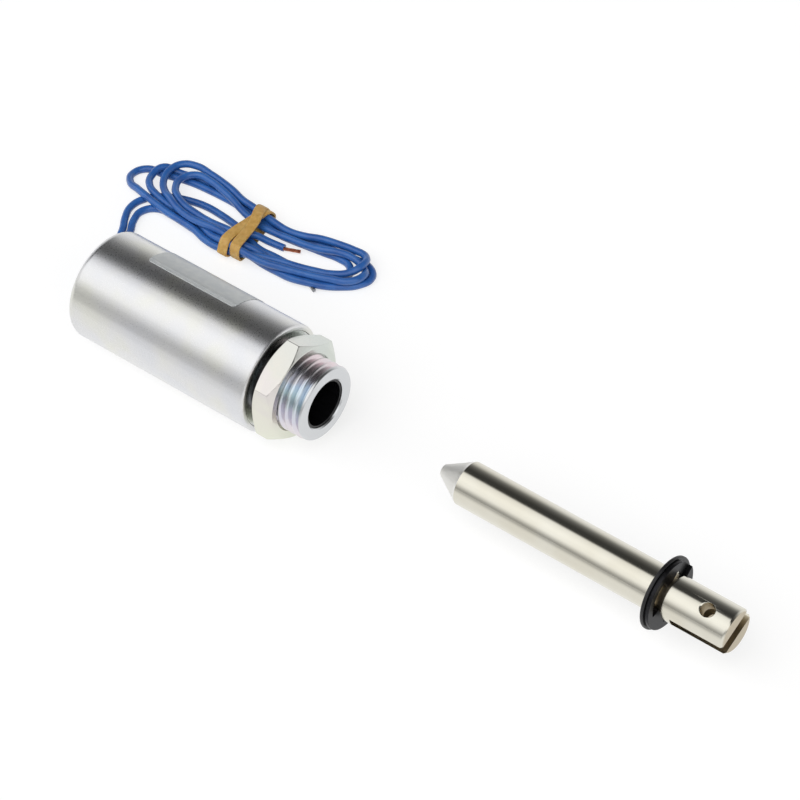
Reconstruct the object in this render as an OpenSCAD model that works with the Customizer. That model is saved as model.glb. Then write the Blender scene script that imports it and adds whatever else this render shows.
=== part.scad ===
// Tubular pull solenoid with a threaded nose, its plunger drawn right out of the bore.
// Millimetres. The solenoid's axis is +X, out of the nose. The origin is on that axis,
// in the plane of the case's front rim. +Z is up, and the case lies on a floor at
// z = -case_d / 2.

/* [Case] */
// Outside diameter of the drawn steel case
case_d = 26; // [22:0.5:40]
// Length of the case, front rim to rear face
case_len = 51; // [40:0.5:80]
// Thickness of the case wall
case_wall = 1.2; // [0.8:0.1:1.6]
// Radius of the rounded rear edge
rear_round = 1.8; // [1:0.1:2.4]
// Radius of the rounded front rim
front_round = 0.8; // [0.3:0.1:1]

/* [Threaded nose] */
// Major diameter of the nose's thread
nose_d = 18; // [15.5:0.1:19]
// Length of the nose in front of the case
nose_len = 13; // [10:0.5:20]
// Depth of the relief between flange and thread
nose_relief = 0.9; // [0.3:0.1:1.2]
// Thickness of the flange that closes the front of the case
flange_t = 3; // [2:0.1:5]
// Depth of the flange's face behind the rim
flange_inset = 0.15; // [0:0.05:0.6]
// Size of the chamfer at the end of the thread
nose_chamfer = 0.6; // [0.3:0.1:1]

/* [Jam nut] */
// Width of the nut across its flats
nut_af = 22.5; // [21.5:0.1:26]
// Thickness of the nut
nut_t = 5.6; // [3:0.1:7]
// Gap between the case and the back of the nut
nut_gap = 1.2; // [0.3:0.1:3]
// Radius at which the corner chamfer meets each face
nut_face_r = 10.9; // [10:0.1:11.2]

/* [Plunger] */
// Diameter of the plunger
plunger_d = 10.3; // [8:0.1:11]
// Length of the plunger, tip to clevis end
plunger_len = 76; // [65:0.5:100]
// Diameter of the flat on the cone's tip
tip_d = 2.8; // [1:0.1:4]
// Half of the cone's included angle
cone_half_angle = 30; // [25:1:45]
// Distance from the tip to the bumper washer
washer_from_tip = 57.6; // [45:0.1:60]
// Distance from the tip to the case's rim when the plunger is drawn out
tip_rest_x = 45.5; // [20:0.5:60]

/* [Stop ring and washer] */
// Diameter of the groove's floor
groove_d = 8; // [6:0.1:8.4]
// Width of the groove
groove_w = 2.2; // [1.2:0.1:3]
// Thickness of the E-ring
ring_t = 1; // [0.6:0.1:1.4]
// Outside diameter of the E-ring
ring_d = 16; // [14:0.5:18]
// Width of the E-ring's mouth
ring_mouth = 5.4; // [4:0.1:6.4]
// Outside diameter of the bumper washer
washer_d = 17; // [15:0.5:20]
// Thickness of the bumper washer
washer_t = 0.8; // [0.5:0.1:1.5]
// Direction of the E-ring's mouth, up from +Y
mouth_angle = 40; // [0:5:355]

/* [Clevis] */
// Width of the slot
slot_w = 3.1; // [2:0.1:4]
// Depth of the slot from the clevis end
slot_depth = 14; // [10:0.5:14.5]
// Radius of the saw that cut the slot
slot_saw_r = 16; // [12:1:30]
// Direction across which the slot opens, up from +Y
slot_angle = 26; // [0:1:359]
// Diameter of the cross hole
pin_hole_d = 3.3; // [2:0.1:4]
// Distance from the cross hole to the clevis end
pin_hole_inset = 6; // [4:0.5:8]

/* [Guide and pole stop] */
// Radial clearance between plunger and guide sleeve
guide_clear = 0.2; // [0.1:0.05:0.3]
// Wall of the guide sleeve
guide_wall = 0.5; // [0.4:0.05:0.8]
// Depth of the sleeve's end inside the nose
guide_inset = 0.5; // [0.2:0.1:2]
// Diameter of the pole stop's rivet
rivet_d = 6; // [4:0.5:7]

/* [Coil] */
// Wall of the bobbin's tube
bobbin_wall = 0.8; // [0.6:0.1:1.2]
// Thickness of the bobbin's flanges
bobbin_flange_t = 1.2; // [0.8:0.1:2]
// Length of the wiring space behind the bobbin
wiring_len = 4; // [3.4:0.1:7]
// Thickness of the insulating washers
insulator_t = 0.4; // [0.2:0.05:0.8]
// Thickness of the tape round the winding
tape_t = 0.25; // [0.1:0.05:0.5]
// Gap between the tape and the case
coil_gap = 0.6; // [0.3:0.1:1.5]

/* [Label] */
// Length of the label along the case
label_len = 25; // [15:0.5:35]
// Width of the label across the case
label_w = 12.4; // [8:0.1:16]
// Thickness of the label
label_t = 0.08; // [0.05:0.01:0.3]
// Distance from the case's rim to the label
label_inset = 13.3; // [6:0.1:16]
// Direction of the label's middle, up from +Y
label_angle = 58.5; // [0:0.5:180]

/* [Leads] */
// Diameter of each lead over its insulation
lead_d = 1.8; // [1.2:0.1:2]
// Diameter of the bared conductor
core_d = 1; // [0.6:0.1:1.2]
// Distance between the two leads in the grommet
lead_pitch = 2.2; // [2.05:0.05:2.4]
// Diameter of the grommet's flange
grommet_d = 5.4; // [5.2:0.1:6]

/* [Hidden] */
$fn = 96;

press_gap = 0.02;     // pieces pressed or glued together
thread_clear = 0.05;  // radial play of the nut where it sits on the nose
slip_gap = 0.05;      // small parts that slide past each other
seat_gap = 0.3;       // space left where the plunger's stops meet their seats
far = 60;             // longer than any cut needs to be

case_r = case_d / 2;
case_inner_r = case_r - case_wall;
rear_wall_x = -case_len + case_wall;
floor_z = -case_r;

nose_r = nose_d / 2;
pitch_drop = 0.6;
nut_bore_r = nose_r - pitch_drop;
nut_seat_r = nut_bore_r - thread_clear;
flange_front_x = -flange_inset;
flange_back_x = flange_front_x - flange_t;
thread_start_x = nut_gap + 0.2;
nut_seat_end_x = nut_gap + nut_t + 0.2;

nut_corner_r = nut_af / 2 / cos(30);
nut_corner_depth = (nut_corner_r - nut_face_r) * tan(30);

plunger_r = plunger_d / 2;
tip_r = tip_d / 2;
cone_len = (plunger_r - tip_r) / tan(cone_half_angle);
groove_x = washer_from_tip + washer_t;
clevis_len = plunger_len - groove_x - groove_w;

guide_inner_r = plunger_r + guide_clear;
guide_outer_r = guide_inner_r + guide_wall;
bore_r = guide_outer_r + slip_gap;

// With the plunger home, its washer stands seat_gap off the nose
tip_home_x = nose_len + seat_gap - washer_from_tip;
shim_t = 0.25;
cup_floor_x = tip_home_x - seat_gap - shim_t;
cup_floor_r = tip_r + 0.2;
stop_r = guide_inner_r - press_gap;
cup_rim = 0.2;
cup_len = (stop_r - cup_rim - cup_floor_r) / tan(cone_half_angle);

bobbin_inner_r = guide_outer_r + slip_gap;
bobbin_outer_r = bobbin_inner_r + bobbin_wall;
bobbin_front_x = flange_back_x - insulator_t - 2 * slip_gap;
bobbin_back_x = rear_wall_x + insulator_t + slip_gap;
rear_flange_x = bobbin_back_x + wiring_len;
tape_r = case_inner_r - coil_gap;
winding_r = tape_r - tape_t;
bobbin_flange_r = tape_r + coil_gap / 2;

// The leads leave through the rear face, below the axis and clear of the pole stop
lead_r = lead_d / 2;
grommet_r = grommet_d / 2;
grommet_neck_r = grommet_r - 0.45;
grommet_orbit = guide_outer_r + grommet_neck_r + 0.4;
grommet_turn = -21.4;
grommet_y = grommet_orbit * cos(grommet_turn);
grommet_z = grommet_orbit * sin(grommet_turn);
grommet_flange_t = 0.8;
grommet_snout = 2.2;
lead_hole_r = lead_r + slip_gap;
splice_r = 1.05;
splice_back_x = bobbin_back_x + 0.6;
splice_front_x = rear_flange_x + bobbin_flange_t - 0.1;

// Routes of the two leads, from their splices to the hank on the floor
lead_a_route = [
    [splice_back_x, grommet_y, grommet_z - lead_pitch / 2],
    [-54, 7.9, -4.2], [-57.5, 8, -4.5], [-61, 9.4, -6], [-64, 13.2, -8.6],
    [-66.3, 17.8, -11], [-67.8, 22, -12], [-69.4, 26, -12.1], [-71.4, 28.8, -12.1],
    [-73, 31.6, -12.1], [-73.6, 34.6, -12.1], [-72.8, 37.6, -12.1]];
lead_b_route = [
    [splice_back_x, grommet_y, grommet_z + lead_pitch / 2],
    [-54, 7.9, -2], [-57.5, 8.1, -2.2], [-61, 10, -3.8], [-63.6, 13.8, -6.6],
    [-65.2, 18, -9.4], [-66.2, 22.4, -11.4], [-67.4, 26.4, -12.1], [-69.2, 29.2, -12.1],
    [-70.2, 31.8, -12.1], [-70, 34.6, -12.1], [-68.6, 36.8, -12.1]];

// The hank lies beside the case: two lobes joined at a waist, where the band holds it
hank_left = [-71.5, 44.2];
hank_left_r = 9;
hank_waist = [-45, 42];
hank_waist_r = 8.8;
hank_right = [-18.6, 47];
hank_right_r = 6;
hank_h = 5.5;
band_t = 0.65;
band_w = 2.4;
band_play = 0.3;
hank_bottom_z = floor_z + band_t + slip_gap;
tip_z = floor_z + lead_r;

// A piece drawn along +Z turned to lie along +X
module along_x() {
    rotate([0, 90, 0]) children();
}

// A solid of revolution about the solenoid's axis; points are [radius, x]
module turned(points) {
    along_x() rotate_extrude() polygon(points);
}

// A plain tube about the solenoid's axis
module tube(inner_r, outer_r, x0, x1) {
    turned([[inner_r, x0], [outer_r, x0], [outer_r, x1], [inner_r, x1]]);
}

// A round bar along +X at a place in the cross-section
module bar(r, x0, x1, y = 0, z = 0) {
    translate([x0, y, z]) along_x() cylinder(r = r, h = x1 - x0);
}

// Points of a quarter arc about [cr, cx], from one angle to the other
function arc(cr, cx, r, from, to, steps = 8) =
    [for (i = [0 : steps]) let (a = from + (to - from) * i / steps) [cr + r * cos(a), cx + r * sin(a)]];

module case() {
    inner_round = max(rear_round - case_wall, 0.2);
    color("gainsboro") difference() {
        turned(concat(
            [[rivet_d / 2 + press_gap, rear_wall_x], [rivet_d / 2 + press_gap, -case_len]],
            arc(case_r - rear_round, -case_len + rear_round, rear_round, -90, 0),
            arc(case_r - front_round, -front_round, front_round, 0, 90),
            [[case_inner_r, 0]],
            arc(case_inner_r - inner_round, rear_wall_x + inner_round, inner_round, 0, -90)));
        bar(grommet_neck_r + slip_gap, -case_len - 1, rear_wall_x + 1, grommet_y, grommet_z);
    }
}

module nose_bushing() {
    flange_r = case_inner_r - press_gap;
    edge = 0.15;
    mouth = 0.3;
    relief_r = nose_r - nose_relief;
    color("silver") turned([
        [bore_r, flange_back_x], [flange_r, flange_back_x],
        [flange_r, flange_front_x - edge], [flange_r - edge, flange_front_x],
        [relief_r, flange_front_x], [relief_r, thread_start_x - nose_relief / 2],
        [nut_seat_r, thread_start_x], [nut_seat_r, nut_seat_end_x],
        [nose_r, nut_seat_end_x], [nose_r, nose_len - nose_chamfer],
        [nose_r - nose_chamfer, nose_len], [bore_r + mouth, nose_len],
        [bore_r, nose_len - mouth]]);
}

module jam_nut() {
    lead_in = pitch_drop + 0.3;
    back_x = nut_gap;
    front_x = nut_gap + nut_t;
    color("cornsilk") difference() {
        intersection() {
            translate([back_x, 0, 0]) along_x() cylinder(r = nut_corner_r, h = nut_t, $fn = 6);
            turned([
                [0, back_x], [nut_face_r, back_x],
                [nut_corner_r + 1, back_x + nut_corner_depth + tan(30)],
                [nut_corner_r + 1, front_x - nut_corner_depth - tan(30)],
                [nut_face_r, front_x], [0, front_x]]);
        }
        turned([
            [0, back_x - 1], [nut_bore_r + lead_in + 1, back_x - 1],
            [nut_bore_r, back_x + lead_in], [nut_bore_r, front_x - lead_in],
            [nut_bore_r + lead_in + 1, front_x + 1], [0, front_x + 1]]);
    }
}

module guide_sleeve() {
    color("black") tube(guide_inner_r, guide_outer_r, bobbin_back_x, nose_len - guide_inset);
}

module pole_stop() {
    rivet_r = rivet_d / 2;
    stake_depth = 0.25;
    stake_r = rivet_r * 0.6;
    head_x = -case_len - 0.1;
    color("darkgray") turned([
        [0, head_x], [stake_r - stake_depth, head_x], [stake_r, head_x + stake_depth],
        [stake_r + stake_depth, head_x], [rivet_r - 0.2, head_x], [rivet_r, head_x + 0.2],
        [rivet_r, rear_wall_x], [stop_r, rear_wall_x],
        [stop_r, cup_floor_x + cup_len], [stop_r - cup_rim, cup_floor_x + cup_len],
        [cup_floor_r, cup_floor_x], [0, cup_floor_x]]);
}

module residual_shim() {
    color("gold") bar(cup_floor_r - press_gap, cup_floor_x, cup_floor_x + shim_t);
}

module bobbin() {
    rear_flange_front_x = rear_flange_x + bobbin_flange_t;
    front_flange_back_x = bobbin_front_x - bobbin_flange_t;
    slot_r = splice_r + slip_gap;
    color("ivory") difference() {
        turned([
            [bobbin_inner_r, bobbin_back_x], [bobbin_outer_r, bobbin_back_x],
            [bobbin_outer_r, rear_flange_x], [bobbin_flange_r, rear_flange_x],
            [bobbin_flange_r, rear_flange_front_x], [bobbin_outer_r, rear_flange_front_x],
            [bobbin_outer_r, front_flange_back_x], [bobbin_flange_r, front_flange_back_x],
            [bobbin_flange_r, bobbin_front_x], [bobbin_inner_r, bobbin_front_x]]);
        for (side = [-1, 1]) {
            bar(slot_r, rear_flange_x - 0.5, rear_flange_front_x + 0.5,
                grommet_y, grommet_z + side * lead_pitch / 2);
        }
        translate([rear_flange_x - 0.5, grommet_y, grommet_z - lead_pitch / 2 - slot_r])
            cube([bobbin_flange_t + 1, far, lead_pitch + 2 * slot_r]);
    }
}

module winding() {
    color("sienna") tube(bobbin_outer_r + slip_gap, winding_r,
        rear_flange_x + bobbin_flange_t + slip_gap, bobbin_front_x - bobbin_flange_t - slip_gap);
}

module winding_tape() {
    color("khaki") tube(winding_r + press_gap, tape_r,
        rear_flange_x + bobbin_flange_t + slip_gap, bobbin_front_x - bobbin_flange_t - slip_gap);
}

module front_insulator() {
    color("tan") tube(bobbin_inner_r, bobbin_flange_r,
        bobbin_front_x + slip_gap, bobbin_front_x + slip_gap + insulator_t);
}

module rear_insulator() {
    color("tan") difference() {
        tube(stop_r + slip_gap, case_inner_r - rear_round, rear_wall_x + press_gap,
            rear_wall_x + insulator_t);
        bar(grommet_neck_r + slip_gap, rear_wall_x - 1, rear_wall_x + 2, grommet_y, grommet_z);
    }
}

module lead_grommet() {
    color("dimgray") difference() {
        union() {
            bar(grommet_neck_r, -case_len, rear_wall_x + insulator_t, grommet_y, grommet_z);
            bar(grommet_r, -case_len - grommet_flange_t, -case_len, grommet_y, grommet_z);
            translate([-case_len - grommet_flange_t - grommet_snout, grommet_y, grommet_z])
                along_x() cylinder(r1 = grommet_neck_r - 0.1, r2 = grommet_r - 0.4, h = grommet_snout);
        }
        for (side = [-1, 1]) {
            bar(lead_hole_r, -case_len - far, rear_wall_x + far, grommet_y,
                grommet_z + side * lead_pitch / 2);
        }
    }
}

module splice_sleeves() {
    color("darkslategray") for (side = [-1, 1]) {
        translate([0, grommet_y, grommet_z + side * lead_pitch / 2])
            tube(core_d / 2, splice_r, splice_back_x, splice_front_x);
    }
}

module label() {
    corner_r = 1;
    lift = 0.02;
    back_x = -label_inset - label_len;
    color("lightgray") difference() {
        intersection() {
            bar(case_r + lift + label_t, back_x - 1, 1 - label_inset);
            rotate([label_angle - 90, 0, 0]) translate([back_x, -label_w / 2, 0])
                linear_extrude(case_r * 2) rounded_rect(label_len, label_w, corner_r);
        }
        bar(case_r + lift, back_x - 2, 2 - label_inset);
    }
}

// A rectangle with its corner at the origin and round corners
module rounded_rect(w, h, r) {
    translate([r, 0]) square([w - 2 * r, h]);
    translate([0, r]) square([w, h - 2 * r]);
    for (x = [r, w - r], y = [r, h - r]) {
        translate([x, y]) circle(r, $fn = 32);
    }
}

function unit(v) = v / norm(v);
function tangent(p, i) = unit(p[min(i + 1, len(p) - 1)] - p[max(i - 1, 0)]);
function ring(p, i, r, sides) =
    let (t = tangent(p, i), s = unit(cross(t, [0, 0, 1])), u = cross(s, t))
    [for (k = [0 : sides - 1]) p[i] + r * (cos(360 * k / sides) * s + sin(360 * k / sides) * u)];

// A round cord swept along a list of points, with one ring of corners at each
module cord(points, r, sides = 8) {
    n = len(points);
    corners = [for (i = [0 : n - 1]) each ring(points, i, r, sides)];
    start_cap = [[for (k = [0 : sides - 1]) k]];
    end_cap = [[for (k = [sides - 1 : -1 : 0]) (n - 1) * sides + k]];
    walls = [for (i = [0 : n - 2], k = [0 : sides - 1])
        let (a = i * sides + k, b = i * sides + (k + 1) % sides)
        each [[a, a + sides, b], [b, a + sides, b + sides]]];
    polyhedron(corners, concat(start_cap, walls, end_cap), convexity = 6);
}

module lead_a() {
    color("royalblue") cord(lead_a_route, lead_r);
}

module lead_b() {
    color("royalblue") cord(lead_b_route, lead_r);
}

module hank_lobe(end, end_r) {
    hull() {
        translate(end) circle(end_r, $fn = 32);
        translate(hank_waist) circle(hank_waist_r, $fn = 32);
    }
}

module lead_hank() {
    color("royalblue") translate([0, 0, hank_bottom_z]) linear_extrude(hank_h) {
        hank_lobe(hank_left, hank_left_r);
        hank_lobe(hank_right, hank_right_r);
    }
}

// A bared lead end lying on the floor, from a point along a heading
module bared_end(start, heading, length) {
    translate([start[0], start[1], tip_z]) rotate([0, 90, heading])
        cylinder(r = core_d / 2, h = length, $fn = 24);
}

module lead_tip_a() {
    color("silver") bared_end([-27, 39.8], -23, 6);
}

module lead_tip_b() {
    color("peru") bared_end([-36.5, 44], 23, 4.5);
}

module rubber_band() {
    inner_y = hank_waist[1] - hank_waist_r - band_play;
    inner_w = 2 * (hank_waist_r + band_play);
    inner_h = hank_h + 2 * slip_gap;
    outer_w = inner_w + 2 * band_t;
    outer_h = inner_h + 2 * band_t;
    color("goldenrod") difference() {
        translate([hank_waist[0] - band_w / 2, inner_y - band_t, floor_z])
            rotate([90, 0, 90]) linear_extrude(band_w) rounded_rect(outer_w, outer_h, band_t);
        translate([hank_waist[0] - band_w, inner_y, floor_z + band_t])
            cube([2 * band_w, inner_w, inner_h]);
    }
}

module bumper_washer() {
    x0 = tip_rest_x + washer_from_tip;
    edge = 0.15;
    inner_r = plunger_r + 2 * slip_gap;
    outer_r = washer_d / 2;
    color("#262626") turned([
        [inner_r, x0], [outer_r - edge, x0], [outer_r, x0 + edge],
        [outer_r, x0 + washer_t - edge], [outer_r - edge, x0 + washer_t],
        [inner_r, x0 + washer_t]]);
}

// The E-ring's outline, its mouth towards +X and its three prongs on the groove's floor
module e_ring_outline() {
    prong_r = groove_d / 2 + 0.06;
    arch_r = ring_d / 2 - 1.7;
    prong_half = 28;
    lip_half = 74;
    difference() {
        circle(ring_d / 2);
        circle(prong_r);
        for (side = [-1, 1]) {
            difference() {
                circle(arch_r);
                rotate(side > 0 ? lip_half : 180 + prong_half) wedge_keep(180 - prong_half - lip_half);
            }
        }
        translate([0, -ring_mouth / 2]) square([far, ring_mouth]);
    }
}

// Everything outside a sector of the given opening, measured up from the X axis
module wedge_keep(opening) {
    difference() {
        circle(far);
        polygon(concat([[0, 0]], [for (i = [0 : 6]) far * 2 * [cos(opening * i / 6), sin(opening * i / 6)]]));
    }
}

module e_ring() {
    x0 = tip_rest_x + groove_x + slip_gap;
    color("#1c1c1c") translate([x0, 0, 0]) rotate([mouth_angle, 0, 0]) rotate([90, 0, 90])
        linear_extrude(ring_t) e_ring_outline();
}

module plunger() {
    end_chamfer = 0.45;
    sink = 0.25;
    hole_x = plunger_len - pin_hole_inset;
    hole_r = pin_hole_d / 2;
    saw_x = plunger_len - slot_depth + slot_saw_r;
    color("wheat") translate([tip_rest_x, 0, 0]) difference() {
        turned([
            [0, 0], [tip_r, 0], [plunger_r, cone_len],
            [plunger_r, groove_x], [groove_d / 2, groove_x],
            [groove_d / 2, groove_x + groove_w], [plunger_r, groove_x + groove_w],
            [plunger_r, plunger_len - end_chamfer],
            [plunger_r - end_chamfer, plunger_len], [0, plunger_len]]);
        rotate([slot_angle, 0, 0]) {
            translate([saw_x, 0, -slot_w / 2]) {
                cylinder(r = slot_saw_r, h = slot_w);
                translate([0, -slot_saw_r, 0]) cube([far, 2 * slot_saw_r, slot_w]);
            }
            translate([hole_x, 0, -far / 2]) cylinder(r = hole_r, h = far);
            for (side = [0, 180]) {
                rotate([side, 0, 0]) translate([hole_x, 0, plunger_r - sink])
                    cylinder(r1 = hole_r, r2 = hole_r + 2 * sink, h = 2 * sink);
            }
        }
    }
}

case();
nose_bushing();
jam_nut();
guide_sleeve();
pole_stop();
residual_shim();
bobbin();
winding();
winding_tape();
front_insulator();
rear_insulator();
lead_grommet();
splice_sleeves();
label();
lead_a();
lead_b();
lead_hank();
lead_tip_a();
lead_tip_b();
rubber_band();
bumper_washer();
e_ring();
plunger();
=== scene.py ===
"""Tubular pull solenoid, its plunger drawn out of the bore, with two leads tied in a hank.

Metres, in the part's own frame: +X along the axis and out of the nose, +Z up.
Routes and profiles are written in millimetres and turned to metres with MM.
"""

import math

import bpy
import numpy as np
from mathutils import Matrix, Vector


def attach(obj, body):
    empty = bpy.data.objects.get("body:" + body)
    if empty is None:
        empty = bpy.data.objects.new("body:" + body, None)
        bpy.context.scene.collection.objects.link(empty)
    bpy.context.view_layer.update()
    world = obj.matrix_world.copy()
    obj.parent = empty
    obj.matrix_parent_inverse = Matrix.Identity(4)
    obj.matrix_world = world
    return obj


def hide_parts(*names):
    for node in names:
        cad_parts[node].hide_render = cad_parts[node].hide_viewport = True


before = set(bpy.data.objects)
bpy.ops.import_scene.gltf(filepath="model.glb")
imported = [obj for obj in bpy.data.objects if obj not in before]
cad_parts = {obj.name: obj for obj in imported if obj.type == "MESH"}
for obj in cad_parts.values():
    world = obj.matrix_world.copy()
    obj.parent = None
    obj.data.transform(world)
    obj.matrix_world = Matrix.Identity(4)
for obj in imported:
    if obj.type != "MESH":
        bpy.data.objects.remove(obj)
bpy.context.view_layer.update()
MM = 0.001


def cad_node(name):
    """The object that model.glb gives for one named piece."""
    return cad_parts[name]


# ---------------------------------------------------------------- camera

AZIMUTH, ELEVATION = math.radians(38.6), math.radians(43.34)
DISTANCE = 0.8726
AIM_RIGHT, AIM_UP = 0.02618, -0.00455

back = Vector((
    math.sin(AZIMUTH) * math.cos(ELEVATION),
    -math.cos(AZIMUTH) * math.cos(ELEVATION),
    math.sin(ELEVATION),
))
right = Vector((math.cos(AZIMUTH), math.sin(AZIMUTH), 0))
up = back.cross(right)
camera_data = bpy.data.cameras.new("camera")
camera_data.lens = 180
camera_data.sensor_width = 36
camera_data.clip_start = 0.01
camera_data.clip_end = 20
camera = bpy.data.objects.new("camera", camera_data)
camera.matrix_world = Matrix.Translation(
    right * AIM_RIGHT + up * AIM_UP + back * DISTANCE
) @ Matrix((right, up, back)).transposed().to_4x4()
bpy.context.scene.collection.objects.link(camera)
bpy.context.scene.camera = camera
bpy.context.scene.view_settings.view_transform = "Standard"

# ---------------------------------------------------------------- cord routes

LEAD_D = 1.8 * MM
CORE_D = 0.85 * MM
FLOOR_Z = -13 * MM
LEAD_CENTRE_Z = -12.1  # a lead that lies on the floor, in millimetres as the routes are

# From the grommet down to the hank: the middle of each lead, in millimetres.
LEAD_A_DROP = [
    (-54, 7.9, -4.2), (-57.5, 8, -4.5), (-61, 9.4, -6), (-64, 13.2, -8.6), (-66.3, 17.8, -11),
    (-67.8, 22, -12), (-69.4, 26, -12.1), (-71.4, 28.8, -12.1), (-73, 31.6, -12.1),
    (-73.6, 34.6, -12.1), (-72.8, 37.6, -12.1)]
LEAD_B_DROP = [
    (-54, 7.9, -2), (-57.5, 8.1, -2.2), (-61, 10, -3.8), (-63.6, 13.8, -6.6), (-65.2, 18, -9.4),
    (-66.2, 22.4, -11.4), (-67.4, 26.4, -12.1), (-69.2, 29.2, -12.1), (-70.2, 31.8, -12.1),
    (-70, 34.6, -12.1), (-68.6, 36.8, -12.1)]
# The folds of the hank as they were laid: x, y and the layer, 0 on the floor.
LEAD_A_FOLDS = [
    (-70.4, 40.2, 0), (-67.5, 42.1, 0), (-64, 43.5, 0), (-59.5, 44.4, 0), (-54.7, 44.1, 0),
    (-49.2, 43, 0), (-43.1, 41.1, 0), (-36.7, 40, 0), (-30.4, 39.6, 0), (-25, 40.2, 0.1),
    (-21, 41.9, 0), (-18.5, 44.3, 0), (-19.1, 47.8, 0), (-22.5, 49.5, 0), (-26.3, 49.1, 0),
    (-30.8, 48.7, 0), (-35.7, 48.2, 0), (-40.9, 47.9, 0), (-45.9, 48.1, 0), (-50.5, 48.8, 0),
    (-55.2, 49.7, 0), (-61.3, 49.3, 0), (-67.1, 48.9, 0), (-72.6, 48, 0), (-77, 47, 0),
    (-79.8, 45.5, 0), (-81.2, 43.9, 0), (-80.9, 41.8, 0), (-77.6, 39.2, 0.6), (-73.4, 37.3, 1),
    (-69.3, 36.5, 1), (-64.2, 36, 1), (-57.8, 35.7, 1), (-51.4, 35.3, 1), (-45.7, 35.4, 1),
    (-41.9, 36.6, 0.8), (-37.1, 37.6, 1), (-31.4, 39.1, 1), (-25.3, 40.6, 1), (-21, 42.7, 1),
    (-17.3, 46.1, 1), (-16.2, 50.1, 1), (-18.7, 52.1, 1), (-22.6, 52.3, 1), (-27.2, 51.3, 1),
    (-32.5, 49.8, 1), (-37.9, 48.4, 1), (-43.8, 48.2, 1), (-49.8, 49.1, 1), (-55, 50.2, 1.2),
    (-60.7, 51.6, 1.2), (-66, 52.3, 1.2), (-69.7, 52.4, 1.2), (-72.5, 51.6, 1.2), (-73.8, 49.1, 1.2),
    (-73.3, 45.8, 1.2), (-71.2, 42.4, 1.2), (-67.4, 39.4, 1.6), (-62.5, 37.3, 2), (-57.1, 36.4, 2),
    (-52, 36.2, 2), (-47.3, 36.3, 2), (-43.1, 37, 1.8), (-39, 38.1, 1), (-35.1, 39.5, 0),
    (-30.3, 39.5, 0), (-26.4, 39.5, 0),
]
LEAD_B_FOLDS = [
    (-66.8, 37.1, 0), (-62.8, 37.1, 0), (-57.6, 36.8, 0), (-51.6, 36.2, 0), (-46.5, 35.9, 0),
    (-41.8, 36.4, 0), (-36.6, 37, 0), (-29.9, 37.2, 0.5), (-23.7, 38.8, 0.6), (-18.6, 41.5, 0.3),
    (-15.3, 44.7, 0), (-13.7, 48.5, 0), (-16.4, 51.1, 0), (-21.1, 51.5, 0), (-25.9, 50.8, 0),
    (-31.1, 49.8, 0), (-36.1, 48.7, 0), (-41.7, 48.1, 0), (-46.3, 48.5, 0), (-51.2, 49.6, 0),
    (-55.9, 50.5, 0), (-61.4, 51.2, 0), (-66.4, 50.9, 0), (-70.7, 50.2, 0), (-73.8, 48.4, 0.4),
    (-76.1, 46.4, 0.6), (-76.4, 43.3, 0.6), (-73.2, 40.3, 1), (-69.5, 38.9, 1), (-64.5, 38.1, 1),
    (-58.3, 37.3, 1), (-52.1, 36.6, 1.2), (-46.2, 35.7, 1.8), (-40.5, 35.3, 1.9), (-35.3, 35.9, 1.5),
    (-29.3, 37.2, 1.2), (-23.4, 39.1, 1.1), (-18.3, 41.5, 1), (-15.1, 44.8, 1), (-14.8, 48.4, 1),
    (-17.8, 50.3, 1), (-22.5, 49.9, 1), (-28, 48.2, 1), (-33.5, 47, 1), (-39.4, 46.1, 1),
    (-44.2, 46.5, 1), (-49.1, 47.6, 1), (-54.5, 49, 1), (-60.1, 50.1, 1.2), (-64.6, 50.4, 1.3),
    (-67.8, 49.7, 1.4), (-69.3, 47.6, 1.4), (-68.2, 43.6, 1.5), (-64.3, 40, 2), (-60.3, 38.6, 2),
    (-54.9, 37.7, 2), (-50.2, 37.6, 2), (-46.6, 38.3, 2), (-44.1, 41, 1.3), (-41.6, 43, 0.6),
    (-39.3, 43.9, 0.2), (-36.2, 44.4, 0),
]

# ---------------------------------------------------------------- the hank settles

BEAD = 1.0            # spacing of the beads that stand for a lead while it settles, in millimetres
TOUCH = 1.86          # least distance between two leads
LEAST_BEND = 4.2      # the bend that the insulation holds out against
LAYER_RISE = 1.55     # how much higher each layer lies
FIRM_BEADS = 26       # beads from the grommet that keep their place
HANK_Y = 30           # the hank is all that lies beyond this
BAND_X = -46.5        # the band passes under the bundle here
BAND_RISE = 0.75      # and lifts it this much
SETTLE_ROUNDS = 1500
# What one round does to a bead, as a share of the way it would go.
LAID_PULL = 0.02      # back to where it was laid, less and less as the rounds go on
LAYER_PULL = 0.03     # back to the height of its layer
STRAIGHTEN = 0.35     # toward an even bend
KEEP_SPACING = 0.25   # to its right distance from the next bead
KEEP_BEND = 0.3       # out of a bend that is too tight
PUSH_APART = 0.7      # out of another lead
SINK = 0.004          # down by its weight, in millimetres
BAND_SQUEEZE = 0.012  # down where the band presses


def beads_along(points):
    """The points joined by a smooth line, as beads at an even spacing."""
    line = np.array(points, float)
    ends = np.vstack([2 * line[0] - line[1], line, 2 * line[-1] - line[-2]])
    t = np.linspace(0, 1, 16, endpoint=False)[:, None]
    smooth_line = np.vstack([
        0.5 * (2 * b + (c - a) * t + (2 * a - 5 * b + 4 * c - d) * t ** 2 + (3 * b - a - 3 * c + d) * t ** 3)
        for a, b, c, d in zip(ends, ends[1:], ends[2:], ends[3:])] + [line[-1]])
    run = np.r_[0, np.cumsum(np.linalg.norm(np.diff(smooth_line, axis=0), axis=1))]
    stops = np.linspace(0, run[-1], int(round(run[-1] / BEAD)) + 1)
    return np.stack([np.interp(stops, run, smooth_line[:, k]) for k in range(3)], axis=1)


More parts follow.
